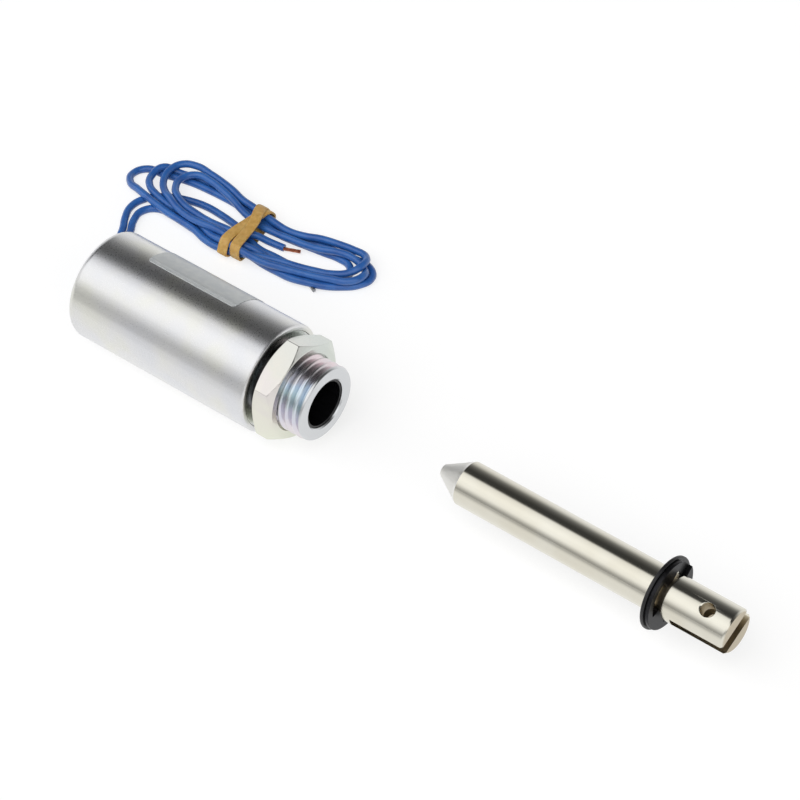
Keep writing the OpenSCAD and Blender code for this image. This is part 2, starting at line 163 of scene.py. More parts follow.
def keep_lengths(line, free, step, length, share, only_short=False):
    """Moves beads that are this many steps apart toward their right distance."""
    for start in range(step if step > 1 else 2):
        a = np.arange(start, len(line) - step, max(step, 2))
        gap = line[a + step] - line[a]
        size = np.linalg.norm(gap, axis=1)
        if only_short:
            a, gap, size = a[size < length], gap[size < length], size[size < length]
        shift = ((size - length) / size * share)[:, None] * gap
        line[a] += free[a][:, None] * shift
        line[a + step] -= free[a + step][:, None] * shift


def push_apart(beads, free, first, second):
    """Moves every pair that is too close straight apart."""
    gap = beads[first] - beads[second]
    size = np.linalg.norm(gap, axis=1)
    close = size < TOUCH
    i, j = first[close], second[close]
    way = gap[close] / np.maximum(size[close], 1e-6)[:, None] * ((TOUCH - size[close]) * PUSH_APART)[:, None]
    both = np.maximum(free[i] + free[j], 1e-6)
    moved, count = np.zeros_like(beads), np.zeros(len(beads))
    np.add.at(moved, i, way * (free[i] / both)[:, None])
    np.add.at(moved, j, -way * (free[j] / both)[:, None])
    np.add.at(count, i, 1)
    np.add.at(count, j, 1)
    beads += moved / np.sqrt(np.maximum(1, count))[:, None]


def settled_leads(laid):
    """Lets both leads slide off each other, straighten where they can and rest on the floor."""
    lines = [beads_along(points) for points in laid]
    split = len(lines[0])
    beads = np.vstack(lines)
    aim = beads.copy()
    order = np.r_[np.arange(split), np.arange(len(beads) - split)]
    lead = np.arange(len(beads)) >= split
    free = (order >= FIRM_BEADS).astype(float)
    pairs = np.triu_indices(len(beads), 1)
    apart = (lead[pairs[0]] != lead[pairs[1]]) | (np.abs(order[pairs[0]] - order[pairs[1]]) * BEAD > 6)
    first, second = pairs[0][apart], pairs[1][apart]
    least_chord = 2 * LEAST_BEND * math.sin(3 / LEAST_BEND)  # of six beads bent as far as they go
    for turn in range(SETTLE_ROUNDS):
        pull = LAID_PULL * (1 - 0.7 * turn / SETTLE_ROUNDS)
        beads += free[:, None] * (aim - beads) * [pull, pull, LAYER_PULL]
        beads[:, 2] -= SINK * free
        for part in (slice(0, split), slice(split, None)):
            line, loose = beads[part], free[part]
            bend = np.zeros_like(line)
            bend[1:-1] = (line[:-2] + line[2:]) / 2 - line[1:-1]
            change = np.zeros_like(line)
            change[2:-2] = (bend[1:-3] + bend[3:-1]) / 2 - bend[2:-2]
            line -= loose[:, None] * change * STRAIGHTEN
            keep_lengths(line, loose, 1, BEAD, KEEP_SPACING)
            keep_lengths(line, loose, 6, least_chord, KEEP_BEND, only_short=True)
        in_hank = beads[:, 1] > HANK_Y
        squeeze = np.exp(-((beads[:, 0] - BAND_X) / 4.5) ** 4) * in_hank
        beads[:, 2] -= BAND_SQUEEZE * free * squeeze * np.maximum(beads[:, 2] + 10, 0)
        if turn % 5 == 0:
            near = ((beads[first] - beads[second]) ** 2).sum(axis=1) < (TOUCH + 2.5) ** 2
            near_first, near_second = first[near], second[near]
        push_apart(beads, free, near_first, near_second)
        ground = LEAD_CENTRE_Z + BAND_RISE * np.exp(-((beads[:, 0] - BAND_X) / 5) ** 4)
        ground = np.where(in_hank, ground, LEAD_CENTRE_Z)
        beads[:, 2] = np.where(free > 0, np.maximum(beads[:, 2], ground), beads[:, 2])
    return beads[:split], beads[split:]


def laid_by_hand(drop, folds):
    """The whole route of a lead as it was laid, each fold at the height of its layer."""
    return drop + [(x, y, LEAD_CENTRE_Z + LAYER_RISE * layer) for x, y, layer in folds]


LEAD_A_BEADS, LEAD_B_BEADS = settled_leads([
    laid_by_hand(LEAD_A_DROP, LEAD_A_FOLDS), laid_by_hand(LEAD_B_DROP, LEAD_B_FOLDS)])


def route_through(beads):
    """Every fourth bead and the last, as the points of a cord's curve."""
    return [tuple(bead) for bead in beads[:-2:4]] + [tuple(beads[-1])]


# ---------------------------------------------------------------- leads


def tube_along(name, routes, diameter, roundness=3):
    """One curve with a round section along each route, its routes in millimetres."""
    data = bpy.data.curves.new(name, "CURVE")
    data.dimensions = "3D"
    data.resolution_u = 6
    data.bevel_depth = diameter / 2
    data.bevel_resolution = roundness
    data.use_fill_caps = True
    for route in routes:
        spline = data.splines.new("BEZIER")
        spline.bezier_points.add(len(route) - 1)
        for point, place in zip(spline.bezier_points, route):
            point.co = Vector(place) * MM
            point.handle_left_type = point.handle_right_type = "AUTO"
    obj = bpy.data.objects.new(name, data)
    bpy.context.scene.collection.objects.link(obj)
    return obj


STRANDS_ROUND = 6  # round one in the middle
STRAND_LAY = 9     # millimetres for one turn of the twist


def twisted_core(name, start, heading, length, splay=0.0):
    """A bared lead end: fine strands laid round one in the middle, with a slow twist."""
    strand_d = CORE_D / 3
    turn = math.radians(heading)
    along = Vector((math.cos(turn), math.sin(turn), 0))
    across = Vector((-math.sin(turn), math.cos(turn), 0))
    centre = Vector((start[0], start[1], LEAD_CENTRE_Z))
    routes = [[centre + along * length * k / 6 for k in range(7)]]
    for strand in range(STRANDS_ROUND):
        route = []
        for k in range(13):
            part = k / 12
            angle = math.tau * (strand / STRANDS_ROUND + part * length / STRAND_LAY)
            spread = (strand_d / MM) * (1 + splay * part ** 2)
            route.append(
                centre + along * length * part
                + across * spread * math.cos(angle) + Vector((0, 0, spread * math.sin(angle))))
        routes.append(route)
    return tube_along(name, routes, strand_d, 2)


lead_a = tube_along("lead_a_cord", [route_through(LEAD_A_BEADS)], LEAD_D)
lead_b = tube_along("lead_b_cord", [route_through(LEAD_B_BEADS)], LEAD_D)
# From its splice through the rear wall and the grommet to where it comes out.
lead_a_inside = tube_along(
    "lead_a_inside", [[(-48.75, 7.914, -4.2), (-51, 7.91, -4.2), LEAD_A_DROP[0]]], LEAD_D)
lead_b_inside = tube_along(
    "lead_b_inside", [[(-48.75, 7.914, -2), (-51, 7.91, -2), LEAD_B_DROP[0]]], LEAD_D)
tip_a = twisted_core("bared_end_a", (-27, 39.8), -23, 6.2, splay=0.3)
tip_b = twisted_core("bared_end_b", (-36.5, 44), 23, 4.5)

# ---------------------------------------------------------------- modelling helpers


def clear_selection():
    """Deselects everything, so that an operator works on its own object only."""
    bpy.ops.object.select_all(action="DESELECT")


def edit(obj, *steps):
    """Runs the steps one after another in edit mode."""
    clear_selection()
    obj.select_set(True)
    bpy.context.view_layer.objects.active = obj
    bpy.ops.object.mode_set(mode="EDIT")
    for step in steps:
        step()
    bpy.ops.object.mode_set(mode="OBJECT")


def everything():
    bpy.ops.mesh.select_all(action="SELECT")


def close_and_orient():
    """Joins vertices that coincide and turns every face outward."""
    everything()
    bpy.ops.mesh.remove_doubles(threshold=0.0005 * MM)
    bpy.ops.mesh.normals_make_consistent(inside=False)


def modify(obj, kind, **settings):
    """Adds a modifier with its settings and applies it."""
    clear_selection()
    obj.select_set(True)
    bpy.context.view_layer.objects.active = obj
    modifier = obj.modifiers.new(kind.lower(), kind)
    for key, value in settings.items():
        setattr(modifier, key, value)
    bpy.ops.object.modifier_apply(modifier=modifier.name)


def smooth(obj, angle):
    """Shades the object smooth but for edges sharper than the angle."""
    clear_selection()
    obj.select_set(True)
    bpy.context.view_layer.objects.active = obj
    bpy.ops.object.shade_smooth_by_angle(angle=math.radians(angle))


def soften(obj, width, angle):
    """Rounds every edge sharper than the angle and evens out the shading beside it."""
    modify(
        obj, "BEVEL", width=width * MM, segments=2, limit_method="ANGLE",
        angle_limit=math.radians(angle), use_clamp_overlap=True, miter_outer="MITER_ARC",
    )
    smooth(obj, 35)
    modify(obj, "WEIGHTED_NORMAL", keep_sharp=True)


def profile_loop(name, points):
    """A closed loop of edges through points given as [x, radius] in millimetres."""
    clear_selection()
    bpy.ops.mesh.primitive_circle_add(vertices=len(points), radius=MM, fill_type="NOTHING")
    obj = bpy.context.object
    obj.name = obj.data.name = name
    for vertex, (x, radius) in zip(obj.data.vertices, points):
        vertex.co = (x * MM, radius * MM, 0)
    return obj


STEPS_ROUND = 96  # of every turned piece


def turned(name, points):
    """A ring turned about the solenoid's axis from a closed loop of [x, radius]."""
    obj = profile_loop(name, points)
    edit(
        obj, everything,
        lambda: bpy.ops.mesh.spin(
            steps=STEPS_ROUND, angle=math.tau, center=(0, 0, 0), axis=(1, 0, 0), use_auto_merge=True),
        close_and_orient,
    )
    return obj


def arc(x, radius, size, start, end, steps=4):
    """Points [x, radius] on an arc about a centre, angles in degrees from +X."""
    return [
        (x + size * math.cos(math.radians(a)), radius + size * math.sin(math.radians(a)))
        for a in (start + (end - start) * i / steps for i in range(steps + 1))
    ]


def finished_copy(node_name, name, edge_width, angle=25):
    """The same shape as a CAD node, merged and with its edges broken as a real one's are."""
    source = cad_node(node_name)
    clear_selection()
    obj = bpy.data.objects.new(name, source.data.copy())
    bpy.context.scene.collection.objects.link(obj)
    obj.data.name = name
    edit(
        obj, close_and_orient, everything,
        lambda: bpy.ops.mesh.dissolve_limited(angle_limit=math.radians(0.5)),
    )
    if edge_width:
        soften(obj, edge_width, angle)
    else:
        smooth(obj, angle)
    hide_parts(node_name)
    return obj


# ---------------------------------------------------------------- rubber band

BAND_W, BAND_T = 2.7, 0.6  # width and thickness
# The band goes twice round the bundle. Each pass is (x, y) from the case's side outward;
# the two upper passes cross, and the second lies on the first there.
BAND_UNDER_LEFT = [(-45.3, 32), (-46.2, 40), (-47.4, 51)]
BAND_OVER_RIGHT = [(-45.3, 32), (-45.8, 36), (-45.9, 39), (-45.7, 42.5), (-45.5, 45), (-45.5, 51)]
BAND_UNDER_RIGHT = [(-41.8, 32), (-43.2, 39), (-44.6, 45), (-45.5, 51)]
BAND_OVER_LEFT = [
    (-41.8, 32), (-42.7, 36), (-43.6, 40), (-44.3, 43.5), (-45.3, 46), (-46.7, 48.4), (-47.4, 51)]
CROSSING_Y, CROSSING_SPREAD = 45.6, 3.2


def bundle_outline(x):
    """The line a stretched band takes round the leads at x: points (y, z), in order round it."""
    beads = np.vstack([LEAD_A_BEADS, LEAD_B_BEADS])
    beads = beads[(np.abs(beads[:, 0] - x) < BAND_W / 2 - 0.05) & (beads[:, 1] > HANK_Y)]
    reach = LEAD_D / MM / 2 + BAND_T / 2 + 0.06
    angles = np.linspace(0, math.tau, 36, endpoint=False)
    points = sorted(
        (y + reach * math.cos(a), max(z + reach * math.sin(a), FLOOR_Z / MM + BAND_T / 2 + 0.03))
        for _, y, z in beads for a in angles)
    halves = []
    for run in (points, points[::-1]):
        half = []
        for point in run:
            while len(half) > 1 and (
                    (half[-1][0] - half[-2][0]) * (point[1] - half[-2][1])
                    <= (half[-1][1] - half[-2][1]) * (point[0] - half[-2][0])):
                half.pop()
            half.append(point)
        halves.append(np.array(half))
    return halves  # the lower half from low y to high, and the upper half back again


def band_pass(stations, over):
    """One pass of the band across the bundle, as points from low y to high."""
    xs, ys = zip(*stations)
    line = []
    for part in np.linspace(0, 1, 13):
        x = xs[len(xs) // 2]
        for _ in range(6):
            lower, upper = bundle_outline(x)
            half = upper[::-1] if over else lower
            run = np.r_[0, np.cumsum(np.linalg.norm(np.diff(half, axis=0), axis=1))]
            y, z = (np.interp(part * run[-1], run, half[:, k]) for k in (0, 1))
            x = float(np.interp(y, ys, xs))
        line.append((x, y, z))
    return line


def flat_rubber_band():
    """A flat ribbon round the bundle, with its width along it."""
    on_top = [
        (x, y, z + (BAND_T + 0.08) * math.exp(-((y - CROSSING_Y) / CROSSING_SPREAD) ** 2))
        for x, y, z in band_pass(BAND_OVER_LEFT, True)]
    rounds = np.array(
        band_pass(BAND_OVER_RIGHT, True)[:-1] + band_pass(BAND_UNDER_RIGHT, False)[:0:-1]
        + on_top[:-1] + band_pass(BAND_UNDER_LEFT, False)[:0:-1])
    closed = np.vstack([rounds, rounds[:1]])
    run = np.r_[0, np.cumsum(np.linalg.norm(np.diff(closed, axis=0), axis=1))]
    count = 72  # cross sections of the ribbon
    stops = np.linspace(0, run[-1], count, endpoint=False)
    line = [Vector(place) * MM for place in zip(*(np.interp(stops, run, closed[:, k]) for k in range(3)))]
    clear_selection()
    bpy.ops.mesh.primitive_grid_add(x_subdivisions=count, y_subdivisions=2, size=MM)
    obj = bpy.context.object
    obj.name = obj.data.name = "rubber_band_loop"
    for index, vertex in enumerate(obj.data.vertices):
        column, row = index % (count + 1), index // (count + 1)
        ahead, behind = line[(column + 1) % count], line[column % count - 1]
        tangent = (ahead - behind).normalized()
        width = (Vector((1, 0, 0)) - tangent * tangent.x).normalized()
        vertex.co = line[column % count] + width * BAND_W * MM * (row / 2 - 0.5)
    edit(obj, close_and_orient)
    modify(obj, "SOLIDIFY", thickness=BAND_T * MM, offset=0, use_even_offset=True)
    modify(obj, "BEVEL", width=0.14 * MM, segments=1, limit_method="ANGLE", angle_limit=math.radians(50))
    modify(obj, "SUBSURF", levels=1, render_levels=1)
    smooth(obj, 60)
    return obj


band = flat_rubber_band()

# ---------------------------------------------------------------- nose with its cut thread

THREAD_PITCH = 2.0
CREST_R, ROOT_R = 9.0, 7.8
FLANGE_R = 11.78
RELIEF_R = 8.1      # of the groove between the flange and the thread
BORE_R = 5.9
FLANGE_X = -0.15    # the flange's front face
NOSE_END_X = 13.0


def threaded_nose():
    """Flange, relief, thread and end collar of the nose, with the bore for its sleeve."""
    ridge = profile_loop("nose_ridge", [
        (-0.95, 7.5), (-0.30, 8.84), (-0.17, CREST_R - 0.02), (0, CREST_R),
        (0.17, CREST_R - 0.02), (0.30, 8.84), (0.95, 7.5)])
    modify(
        ridge, "SCREW", axis="X", angle=math.tau, screw_offset=THREAD_PITCH * MM,
        steps=STEPS_ROUND, render_steps=STEPS_ROUND, iterations=7, use_smooth_shade=False)
    edit(ridge, everything, lambda: bpy.ops.mesh.fill_holes(sides=0), close_and_orient)
    envelope = turned("nose_envelope", [
        (1.3, 7.0), (1.3, RELIEF_R), (2.2, CREST_R + 0.05), (12.25, CREST_R + 0.05), (12.9, 8.4),
        (12.9, 7.0)])
    modify(ridge, "BOOLEAN", operation="INTERSECT", object=envelope, solver="EXACT")
    nose = turned("nose_thread", [
        (-3.15, BORE_R), (-3.15, FLANGE_R), (FLANGE_X - 0.15, FLANGE_R), (FLANGE_X, FLANGE_R - 0.15),
        (FLANGE_X, RELIEF_R), (0.9, RELIEF_R), (1.2, ROOT_R), (11.75, ROOT_R), (12.15, 8.62)]
        + arc(12.5, 8.3, 0.5, 90, 20)
        + [(NOSE_END_X, 8.3), (NOSE_END_X, BORE_R + 0.3), (NOSE_END_X - 0.3, BORE_R)])
    modify(nose, "BOOLEAN", operation="UNION", object=ridge, solver="EXACT")
    for helper in (ridge, envelope):
        bpy.data.objects.remove(helper)
    edit(nose, close_and_orient)
    smooth(nose, 32)
    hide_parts("nose_bushing")
    return nose


nose = threaded_nose()
can = finished_copy("case", "drawn_can", 0)
nut = finished_copy("jam_nut", "hexagon_nut", 0.14)
sleeve = finished_copy("guide_sleeve", "nose_sleeve", 0.09)
rod = finished_copy("plunger", "plunger_rod", 0.07)
ring = finished_copy("e_ring", "stop_ring", 0.1)
washer = finished_copy("bumper_washer", "bumper", 0.06, 20)
tag = finished_copy("label", "blank_label", 0)
grommet = finished_copy("lead_grommet", "lead_gland", 0.12)


# ---------------------------------------------------------------- small helpers


def hex_colour(code):
    """An sRGB hex value as linear red, green, blue and alpha."""
    parts = [int(code[i:i + 2], 16) / 255 for i in (1, 3, 5)]
    return [c / 12.92 if c <= 0.04045 else ((c + 0.055) / 1.055) ** 2.4 for c in parts] + [1]


def per_mm(size):
    """The texture scale that gives a pattern this many millimetres across."""
    return 1000 / size


def add(tree, kind, settings=None, **inputs):
    """A shader node with its settings, and its inputs set or linked by name."""
    node = tree.nodes.new("ShaderNode" + kind)
    for key, value in (settings or {}).items():
        if key == "stops":
            while len(node.color_ramp.elements) < len(value):
                node.color_ramp.elements.new(0.5)
            for element, (place, colour) in zip(node.color_ramp.elements, value):
                element.position = place
                element.color = hex_colour(colour) if isinstance(colour, str) else [colour] * 3 + [1]
        else:
            setattr(node, key, value)
    for key, value in inputs.items():
        name = key.replace("_", " ")
        socket = node.inputs[int(key[1:])] if key[0] == "i" and key[1:].isdigit() else node.inputs[name]
        if isinstance(value, bpy.types.NodeSocket):
            tree.links.new(value, socket)
        else:
            socket.default_value = value
    return node


def new_material(name, base="#808080", metallic=0.0, roughness=0.5):
    """A material with its shader, its coordinates and its tree, ready to be filled."""
    material = bpy.data.materials.new(name)
    material.use_nodes = True
    tree = material.node_tree
    shader = tree.nodes["Principled BSDF"]
    shader.inputs["Base Color"].default_value = hex_colour(base)
    shader.inputs["Metallic"].default_value = metallic
    shader.inputs["Roughness"].default_value = roughness
    place = tree.nodes.new("ShaderNodeTexCoord").outputs["Object"]
    return material, tree, shader, place


def link(tree, out, into):
    tree.links.new(out, into)


# ---------------------------------------------------------------- materials


def angle_round_axis(tree, place):
    """0 to 1 round the solenoid's axis: 0 at -Y, 0.25 underneath, 0.5 at +Y, 0.75 on top."""
    parts = add(tree, "SeparateXYZ", Vector=place)
    turn = add(tree, "Math", {"operation": "ARCTAN2"}, i0=parts.outputs["Z"], i1=parts.outputs["Y"])
    return add(tree, "MapRange", Value=turn.outputs[0], From_Min=-math.pi, From_Max=math.pi).outputs[0]


def distance_from_axis(tree, place):
    """How far a point is from the solenoid's axis, in metres."""
    flat = add(tree, "VectorMath", {"operation": "MULTIPLY"}, i0=place, i1=(0, 1, 1))
    return add(tree, "VectorMath", {"operation": "LENGTH"}, i0=flat.outputs[0]).outputs["Value"]


def zinc_plated_drawn_steel():
    # Cold drawn steel, barrel plated in bright zinc and passivated clear. Drawing leaves a fine
    # dull grain that softens the shine, and the passivate a trace of cream in places.
    material, tree, shader, place = new_material("zinc_plated_drawn_steel", metallic=1.0)
    clouds = add(tree, "TexNoise", Vector=place, Scale=per_mm(11), Detail=2.0)
    tint = add(tree, "ValToRGB", {"stops": [(0.36, "#DADBDE"), (0.5, "#DDDDDD"), (0.66, "#DEDED7")]},
               Fac=clouds.outputs[0])
    link(tree, tint.outputs[0], shader.inputs["Base Color"])
    # The grain is about 0.15 mm; it is drawn at 0.28 mm so that it shows.
    grain = add(tree, "TexNoise", Vector=place, Scale=per_mm(0.28), Detail=2.0, Roughness=0.6)
    sheen = add(tree, "MapRange", Value=grain.outputs[0], From_Min=0.3, From_Max=0.7,
                To_Min=0.26, To_Max=0.34)
    link(tree, sheen.outputs[0], shader.inputs["Roughness"])
    dull = add(tree, "Bump", Height=grain.outputs[0], Distance=0.012 * MM)
    # Drawing also leaves a slow unevenness of a few millimetres.
    slow = add(tree, "TexNoise", Vector=place, Scale=per_mm(5), Detail=1.0)
    uneven = add(tree, "Bump", Height=slow.outputs[0], Distance=0.02 * MM, Normal=dull.outputs[0])
    link(tree, uneven.outputs[0], shader.inputs["Normal"])
    return material


def iridescent_zinc(name, stops, roughness, grain_depth, turned_lines=None, plate_and_shade_zones=()):
    # Machined steel, zinc plated and blue passivated: the thin film gives soft rainbow tints
    # that drift round the piece as its thickness changes.
    material, tree, shader, place = new_material(name, metallic=1.0, roughness=roughness)
    drift = add(tree, "TexNoise", Vector=place, Scale=per_mm(6), Detail=2.0, Distortion=0.6)
    shift = add(tree, "MapRange", Value=drift.outputs[0], From_Min=0.3, From_Max=0.7,
                To_Min=-0.05, To_Max=0.05)
    turn = add(tree, "Math", {"operation": "ADD"}, i0=angle_round_axis(tree, place), i1=shift.outputs[0])
    film = add(tree, "ValToRGB", {"stops": stops}, Fac=turn.outputs[0])
    colour = film.outputs[0]
    for start, end, zone_colour in plate_and_shade_zones:
        # A faced end and the flange keep the bare colour of their plating. The deep relief behind
        # the thread is painted dark grey instead: painted shade for the gap under the nut. A zone runs
        # from its start, where it fades in, on past its end.
        along = add(tree, "SeparateXYZ", Vector=place).outputs["X"]
        zone = add(tree, "MapRange", Value=along, From_Min=start * MM, From_Max=end * MM)
        zoned_colour = add(tree, "Mix", {"data_type": "RGBA"}, Factor=zone.outputs[0], i6=colour,
                    i7=hex_colour(zone_colour))
        colour = zoned_colour.outputs[2]
    link(tree, colour, shader.inputs["Base Color"])
    grain = add(tree, "TexNoise", Vector=place, Scale=per_mm(0.4), Detail=2.0)
    surface = add(tree, "Bump", Height=grain.outputs[0], Distance=grain_depth)
    if turned_lines:
        # Turning leaves one fine line for every pass of the tool.
        lines = add(tree, "TexWave", {"bands_direction": "X"}, Vector=place, Scale=per_mm(turned_lines) / 20,
                    Distortion=0.4)
        surface = add(tree, "Bump", Height=lines.outputs[0], Distance=0.002 * MM, Normal=surface.outputs[0])
    link(tree, surface.outputs[0], shader.inputs["Normal"])
    return material


def black_drawn_nylon():
    # Black acetal tube, extruded and cut off: glossy, with faint lines along it.
    material, tree, shader, place = new_material("black_acetal_tube", "#0B0B0C", 0.0, 0.22)
    shader.inputs["Specular IOR Level"].default_value = 0.3
    stretched = add(tree, "VectorMath", {"operation": "MULTIPLY"}, i0=place, i1=(0.05, 1, 1))
    lines = add(tree, "TexNoise", Vector=stretched.outputs[0], Scale=per_mm(0.3), Detail=2.0)
    tone = add(tree, "ValToRGB", {"stops": [(0.3, "#080809"), (0.7, "#111113")]}, Fac=lines.outputs[0])
    link(tree, tone.outputs[0], shader.inputs["Base Color"])
    bump = add(tree, "Bump", Height=lines.outputs[0], Distance=0.004 * MM)
    link(tree, bump.outputs[0], shader.inputs["Normal"])
    return material


PLUNGER_TIP_X = 45.5
CONE_LENGTH = 6.5


def nickel_plated_turned_steel():
    # Turned free-cutting steel under bright nickel: warm, mirror-like, with fine turning lines.
    # The cone and the sawn slot are duller, because the tool leaves them coarser. Their colours are
    # painted as well: the cone paler, as painted light, and the slot and ring groove a darker tan, as painted
    # shade.
    material, tree, shader, place = new_material("nickel_plated_turned_steel", metallic=1.0)
    parts = add(tree, "SeparateXYZ", Vector=place)
    along = parts.outputs["X"]
    radius = distance_from_axis(tree, place)
    cone_end = PLUNGER_TIP_X + CONE_LENGTH
    # From the cone's end to the tip the colour is painted a paler grey: painted light on the cone.
    cone_painted_light_and_dull = add(tree, "MapRange", Value=along,
               From_Min=(cone_end + 0.05) * MM, From_Max=(cone_end - 0.05) * MM)
    # Within 4.6 mm of the axis, in the sawn slot and the ring groove, the colour is painted a darker tan:
    # painted shade.
    recess_painted_shade_and_dull = add(tree, "MapRange", Value=radius, From_Min=4.9 * MM, From_Max=4.6 * MM)
    clouds = add(tree, "TexNoise", Vector=place, Scale=per_mm(9), Detail=2.0)
    tint = add(tree, "ValToRGB", {"stops": [(0.35, "#D5D1C3"), (0.65, "#DAD7CB")]}, Fac=clouds.outputs[0])
    with_recess_shade = add(tree, "Mix", {"data_type": "RGBA"}, Factor=recess_painted_shade_and_dull.outputs[0], i6=tint.outputs[0],
                i7=hex_colour("#B9AE98"))
    colour = add(tree, "Mix", {"data_type": "RGBA"}, Factor=cone_painted_light_and_dull.outputs[0], i6=with_recess_shade.outputs[2],
                 i7=hex_colour("#E6E5E1"))
    link(tree, colour.outputs[2], shader.inputs["Base Color"])
    dull_cone = add(tree, "MapRange", Value=cone_painted_light_and_dull.outputs[0], To_Min=0.13, To_Max=0.3)
    dull_slot = add(tree, "MapRange", Value=recess_painted_shade_and_dull.outputs[0], To_Min=0.0, To_Max=0.16)
    both = add(tree, "Math", {"operation": "ADD"}, i0=dull_cone.outputs[0], i1=dull_slot.outputs[0])
    link(tree, both.outputs[0], shader.inputs["Roughness"])
    # Lines about 0.14 mm apart, each a full turn round the rod.
    along_only = add(tree, "CombineXYZ", X=along)
    lines = add(tree, "TexNoise", Vector=along_only.outputs[0], Scale=per_mm(0.14), Detail=2.0, Roughness=0.7)
    cut = add(tree, "Bump", Height=lines.outputs[0], Distance=0.006 * MM)
    slow = add(tree, "TexNoise", Vector=place, Scale=per_mm(3), Detail=1.0)
    wavy = add(tree, "Bump", Height=slow.outputs[0], Distance=0.004 * MM, Normal=cut.outputs[0])
    link(tree, wavy.outputs[0], shader.inputs["Normal"])
    return material


def black_oxide_spring_steel():
    # Stamped spring steel, blackened in oil: near black with a dull metallic gleam.
    material, tree, shader, place = new_material("black_oxide_spring_steel", metallic=0.8)
    grain = add(tree, "TexNoise", Vector=place, Scale=per_mm(0.5), Detail=3.0)
    tone = add(tree, "ValToRGB", {"stops": [(0.3, "#18181A"), (0.7, "#2A2A2D")]}, Fac=grain.outputs[0])
    link(tree, tone.outputs[0], shader.inputs["Base Color"])
    sheen = add(tree, "MapRange", Value=grain.outputs[0], To_Min=0.26, To_Max=0.42)
    link(tree, sheen.outputs[0], shader.inputs["Roughness"])
    bump = add(tree, "Bump", Height=grain.outputs[0], Distance=0.006 * MM)
    link(tree, bump.outputs[0], shader.inputs["Normal"])
    return material


def black_rubber(name, dark, light, roughness, grain_mm):
    # Moulded nitrile rubber: black, with a fine dull bloom.
    material, tree, shader, place = new_material(name, dark, 0.0, roughness)
    bloom = add(tree, "TexNoise", Vector=place, Scale=per_mm(2.5), Detail=3.0)
    tone = add(tree, "ValToRGB", {"stops": [(0.35, dark), (0.7, light)]}, Fac=bloom.outputs[0])
    link(tree, tone.outputs[0], shader.inputs["Base Color"])
    grain = add(tree, "TexNoise", Vector=place, Scale=per_mm(grain_mm), Detail=2.0)
    bump = add(tree, "Bump", Height=grain.outputs[0], Distance=0.01 * MM)
    link(tree, bump.outputs[0], shader.inputs["Normal"])
    return material


def silver_polyester_film():
    # Bare silver polyester label stock: a smooth grey satin with the faintest orange peel from its glue.
    material, tree, shader, place = new_material("silver_polyester_film", "#C2C5C6", 0.25, 0.34)
    peel = add(tree, "TexNoise", Vector=place, Scale=per_mm(1.6), Detail=2.0)
    tone = add(tree, "ValToRGB", {"stops": [(0.35, "#BEC2C4"), (0.65, "#C7CACA")]}, Fac=peel.outputs[0])
    link(tree, tone.outputs[0], shader.inputs["Base Color"])
    bump = add(tree, "Bump", Height=peel.outputs[0], Distance=0.01 * MM)
    link(tree, bump.outputs[0], shader.inputs["Normal"])
    return material


def blue_pvc_insulation():
    # Extruded blue PVC: even in colour, half glossy, soft enough to show slight ripples.
    material, tree, shader, place = new_material("blue_pvc_insulation", "#2A60AA", 0.0, 0.34)
    clouds = add(tree, "TexNoise", Vector=place, Scale=per_mm(4), Detail=2.0)
    tone = add(tree, "ValToRGB", {"stops": [(0.35, "#2457A0"), (0.65, "#2E66AF")]}, Fac=clouds.outputs[0])
    link(tree, tone.outputs[0], shader.inputs["Base Color"])
    ripple = add(tree, "TexNoise", Vector=place, Scale=per_mm(1.2), Detail=2.0)
    bump = add(tree, "Bump", Height=ripple.outputs[0], Distance=0.02 * MM)
    link(tree, bump.outputs[0], shader.inputs["Normal"])
    shader.inputs["Coat Weight"].default_value = 0.3
    shader.inputs["Coat Roughness"].default_value = 0.25
    return material


def drawn_strand(name, dark, light, roughness):
    # Drawn wire, bared by hand: bright, with patches dulled by touch.
    material, tree, shader, place = new_material(name, light, 1.0, roughness)
    patches = add(tree, "TexNoise", Vector=place, Scale=per_mm(0.9), Detail=3.0)
    tone = add(tree, "ValToRGB", {"stops": [(0.35, dark), (0.65, light)]}, Fac=patches.outputs[0])
    link(tree, tone.outputs[0], shader.inputs["Base Color"])
    bump = add(tree, "Bump", Height=patches.outputs[0], Distance=0.01 * MM)
    link(tree, bump.outputs[0], shader.inputs["Normal"])
    return material


def natural_rubber_band():
    # Unfilled natural rubber: amber, a little see-through, dusted with a faint chalk.
    material, tree, shader, place = new_material("natural_rubber_band", "#C9A04E", 0.0, 0.5)
    chalk = add(tree, "TexNoise", Vector=place, Scale=per_mm(1.1), Detail=3.0)
    tone = add(tree, "ValToRGB", {"stops": [(0.3, "#BC9147"), (0.7, "#D2AC66")]}, Fac=chalk.outputs[0])
    link(tree, tone.outputs[0], shader.inputs["Base Color"])
    shader.inputs["Subsurface Weight"].default_value = 0.35
    shader.inputs["Subsurface Radius"].default_value = (1.0, 0.6, 0.25)
    shader.inputs["Subsurface Scale"].default_value = 0.6 * MM
    bump = add(tree, "Bump", Height=chalk.outputs[0], Distance=0.02 * MM)
    link(tree, bump.outputs[0], shader.inputs["Normal"])
    return material


def turned_soft_iron():
    # Turned soft iron, left plain and oiled: grey, with tool rings 0.2 mm apart round the axis.
    material, tree, shader, place = new_material("turned_soft_iron", metallic=1.0, roughness=0.34)
    clouds = add(tree, "TexNoise", Vector=place, Scale=per_mm(3), Detail=3.0)
    tone = add(tree, "ValToRGB", {"stops": [(0.35, "#8E8B86"), (0.65, "#A5A29C")]}, Fac=clouds.outputs[0])
    link(tree, tone.outputs[0], shader.inputs["Base Color"])
    rings = add(tree, "Math", {"operation": "MULTIPLY"}, i0=distance_from_axis(tree, place),
                i1=math.tau * per_mm(0.2))
    wave = add(tree, "Math", {"operation": "SINE"}, i0=rings.outputs[0])
    bump = add(tree, "Bump", Height=wave.outputs[0], Distance=0.003 * MM)
    link(tree, bump.outputs[0], shader.inputs["Normal"])
    return material


